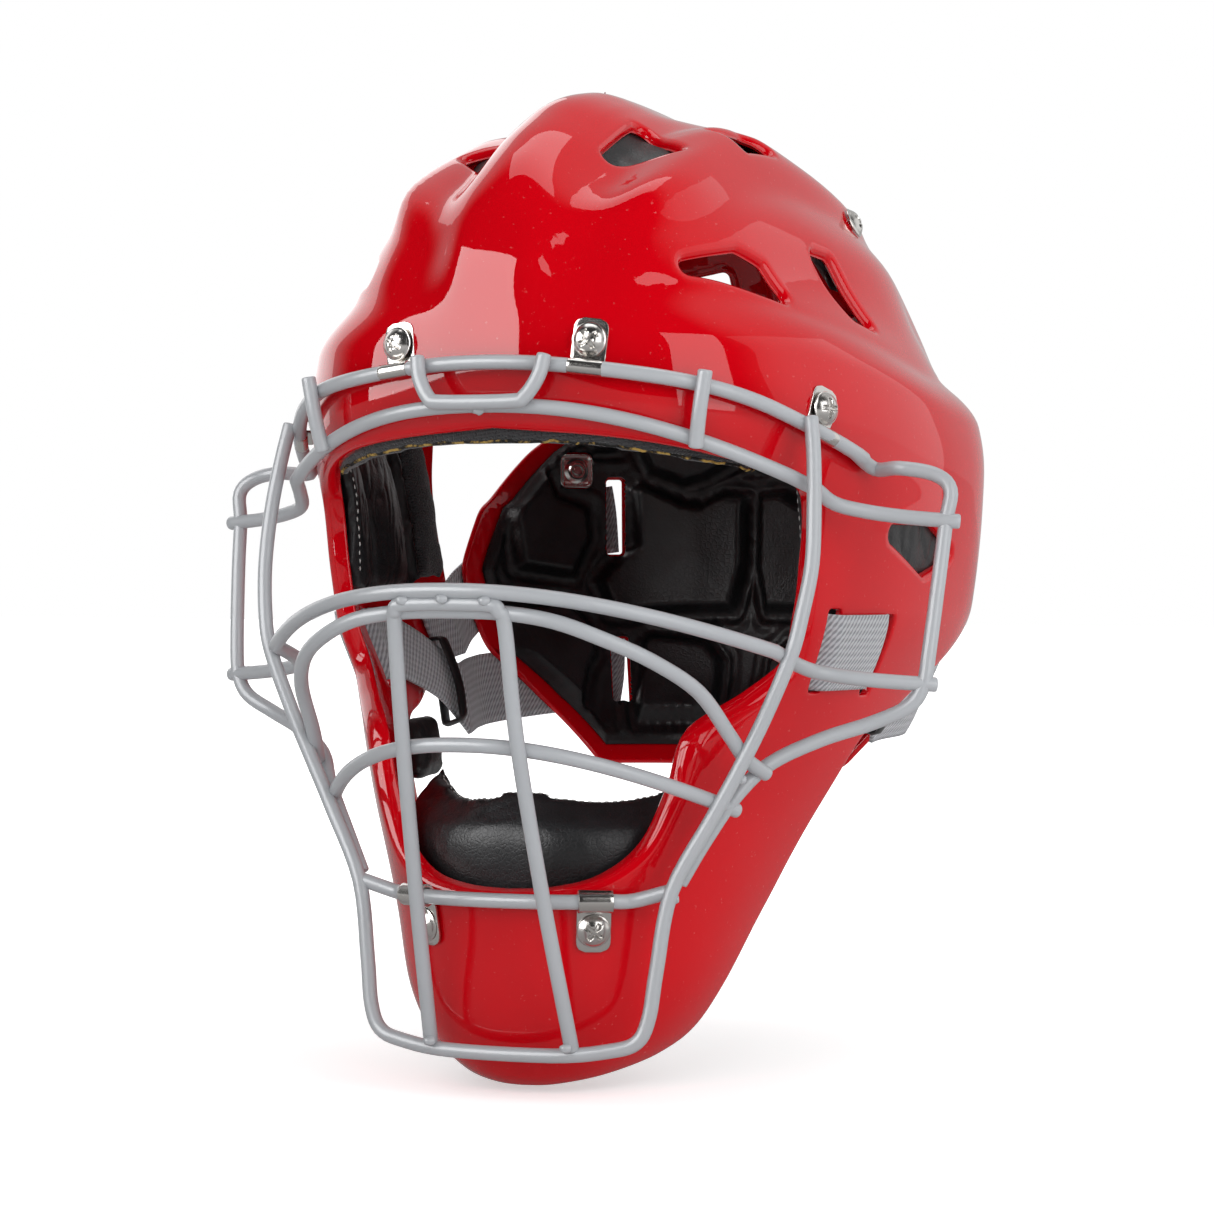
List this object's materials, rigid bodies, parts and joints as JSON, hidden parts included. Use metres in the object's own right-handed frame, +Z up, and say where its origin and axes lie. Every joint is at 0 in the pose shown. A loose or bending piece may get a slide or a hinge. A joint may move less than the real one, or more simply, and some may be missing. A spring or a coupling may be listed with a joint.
{
  "type": "catchers mask",
  "caption": "Hockey-style catcher's mask: glossy moulded helmet shell with a welded wire face cage, sprung back plate, foam and leather pads and elastic straps.",
  "frame": {"origin": "centre of the head cavity at ear level, on the mask's plane of symmetry", "axes": "+Z up to the crown, -Y the way the face looks out through the cage, +X the wearer's left"},
  "size_m": [0.2676, 0.2996, 0.331],
  "materials": {
    "shell": "high-gloss scarlet moulded shell",
    "leather": "satin black synthetic leather over foam",
    "pad_fabric": "grey knitted lining over foam",
    "cage": "light grey glossy powder coat on steel wire",
    "clip": "bright plated sheet steel",
    "screw": "bright plated dome-head screws",
    "zinc": "zinc-plated steel",
    "elastic": "woven grey elastic webbing",
    "buckle": "satin black moulded plastic"
  },
  "bodies": {
    "helmet": {"shell": "shell", "brow_pad": "pad_fabric", "crown_pad": "leather", "crown_side_pad_left": "leather", "crown_side_pad_right": "leather", "temple_pad_left": "leather", "temple_pad_right": "leather", "jaw_pad_left": "leather", "jaw_pad_right": "leather", "chin_pad": "leather", "top_bar": "cage", "brow_bar": "cage", "brow_stub": "cage", "brow_posts": "cage", "face_frame": "cage", "ear_loop_left": "cage", "ear_loop_right": "cage", "eye_bar": "cage", "cheek_arc": "cage", "lower_arc": "cage", "nose_guard": "cage", "chin_bar": "cage", "brow_clips": "clip", "temple_clips": "clip", "chin_clips": "clip", "cage_screws": "screw", "cage_nuts": "zinc", "crown_screws": "screw", "crown_nuts": "zinc", "hinge_brackets": "zinc", "hinge_pins": "zinc", "bracket_rivets": "screw", "upper_strap_left": "elastic", "upper_strap_right": "elastic", "lower_strap_left": "elastic", "lower_strap_right": "elastic"},
    "back_plate": {"back_plate": "shell", "back_liner": "leather", "plate_screws": "screw", "plate_nuts": "zinc"},
    "buckle_left": {"strap_buckle_left": "buckle"},
    "buckle_right": {"strap_buckle_right": "buckle"}
  },
  "joints": [
    {"name": "plate_hinge", "type": "hinge", "parent": "helmet", "child": "back_plate", "pos_m": [0, 0.10822, 0.05866], "axis": [1, 0, 0], "range_deg": [0, 12], "stiffness_Nm_per_rad": 3, "springref_deg": -1.72, "deforming": ["upper_strap_left", "upper_strap_right", "lower_strap_left", "lower_strap_right"]},
    {"name": "buckle_slide_left", "type": "slide", "parent": "helmet", "child": "buckle_left", "axis": [-0.1727, 0.8606, -0.4791], "range_m": [-0.004, 0.003]},
    {"name": "buckle_slide_right", "type": "slide", "parent": "helmet", "child": "buckle_right", "axis": [0.1727, 0.8606, -0.4791], "range_m": [-0.004, 0.003]}
  ]
}
